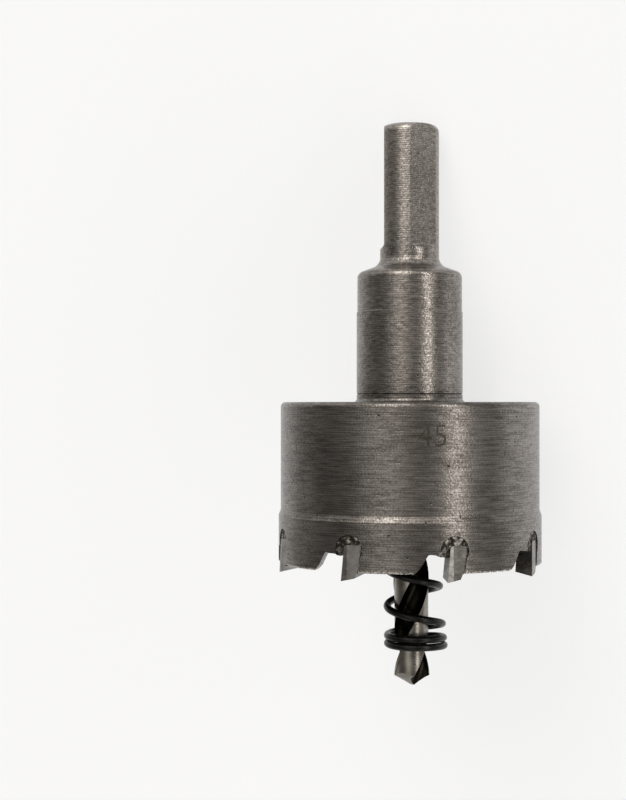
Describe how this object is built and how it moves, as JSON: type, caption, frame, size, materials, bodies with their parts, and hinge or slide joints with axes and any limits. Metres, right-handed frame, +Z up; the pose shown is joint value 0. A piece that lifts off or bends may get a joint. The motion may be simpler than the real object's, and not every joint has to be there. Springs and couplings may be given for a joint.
{
  "type": "hole saw",
  "caption": "Carbide-tipped hole saw: a short steel cup with brazed teeth, a boss and flatted shank in one piece, a pilot drill and an ejector spring.",
  "frame": {"origin": "centre of the bounding box, at the bench", "axes": "+Y towards the shank's end, which rests on the bench; -Y towards the pilot drill's point; +Z up. The saw's own axis lies in the YZ plane, its shank 20.3 degrees down"},
  "size_m": [0.045, 0.0906, 0.0513],
  "materials": {
    "turned_steel": "dark turned steel, satin",
    "carbide": "ground sintered carbide, fine grey",
    "braze": "silver braze darkened by heat",
    "drill_steel": "ground high-speed steel",
    "spring_steel": "oiled black oxide",
    "screw_steel": "black oxide"
  },
  "bodies": {
    "root": {"cutter_body": "turned_steel", "tip_1": "carbide", "tip_2": "carbide", "tip_3": "carbide", "tip_4": "carbide", "tip_5": "carbide", "tip_6": "carbide", "tip_7": "carbide", "tip_8": "carbide", "braze_1": "braze", "braze_2": "braze", "braze_3": "braze", "braze_4": "braze", "braze_5": "braze", "braze_6": "braze", "braze_7": "braze", "braze_8": "braze", "pilot_drill": "drill_steel", "grub_screw": "screw_steel", "ejector_spring": "spring_steel"}
  },
  "joints": []
}
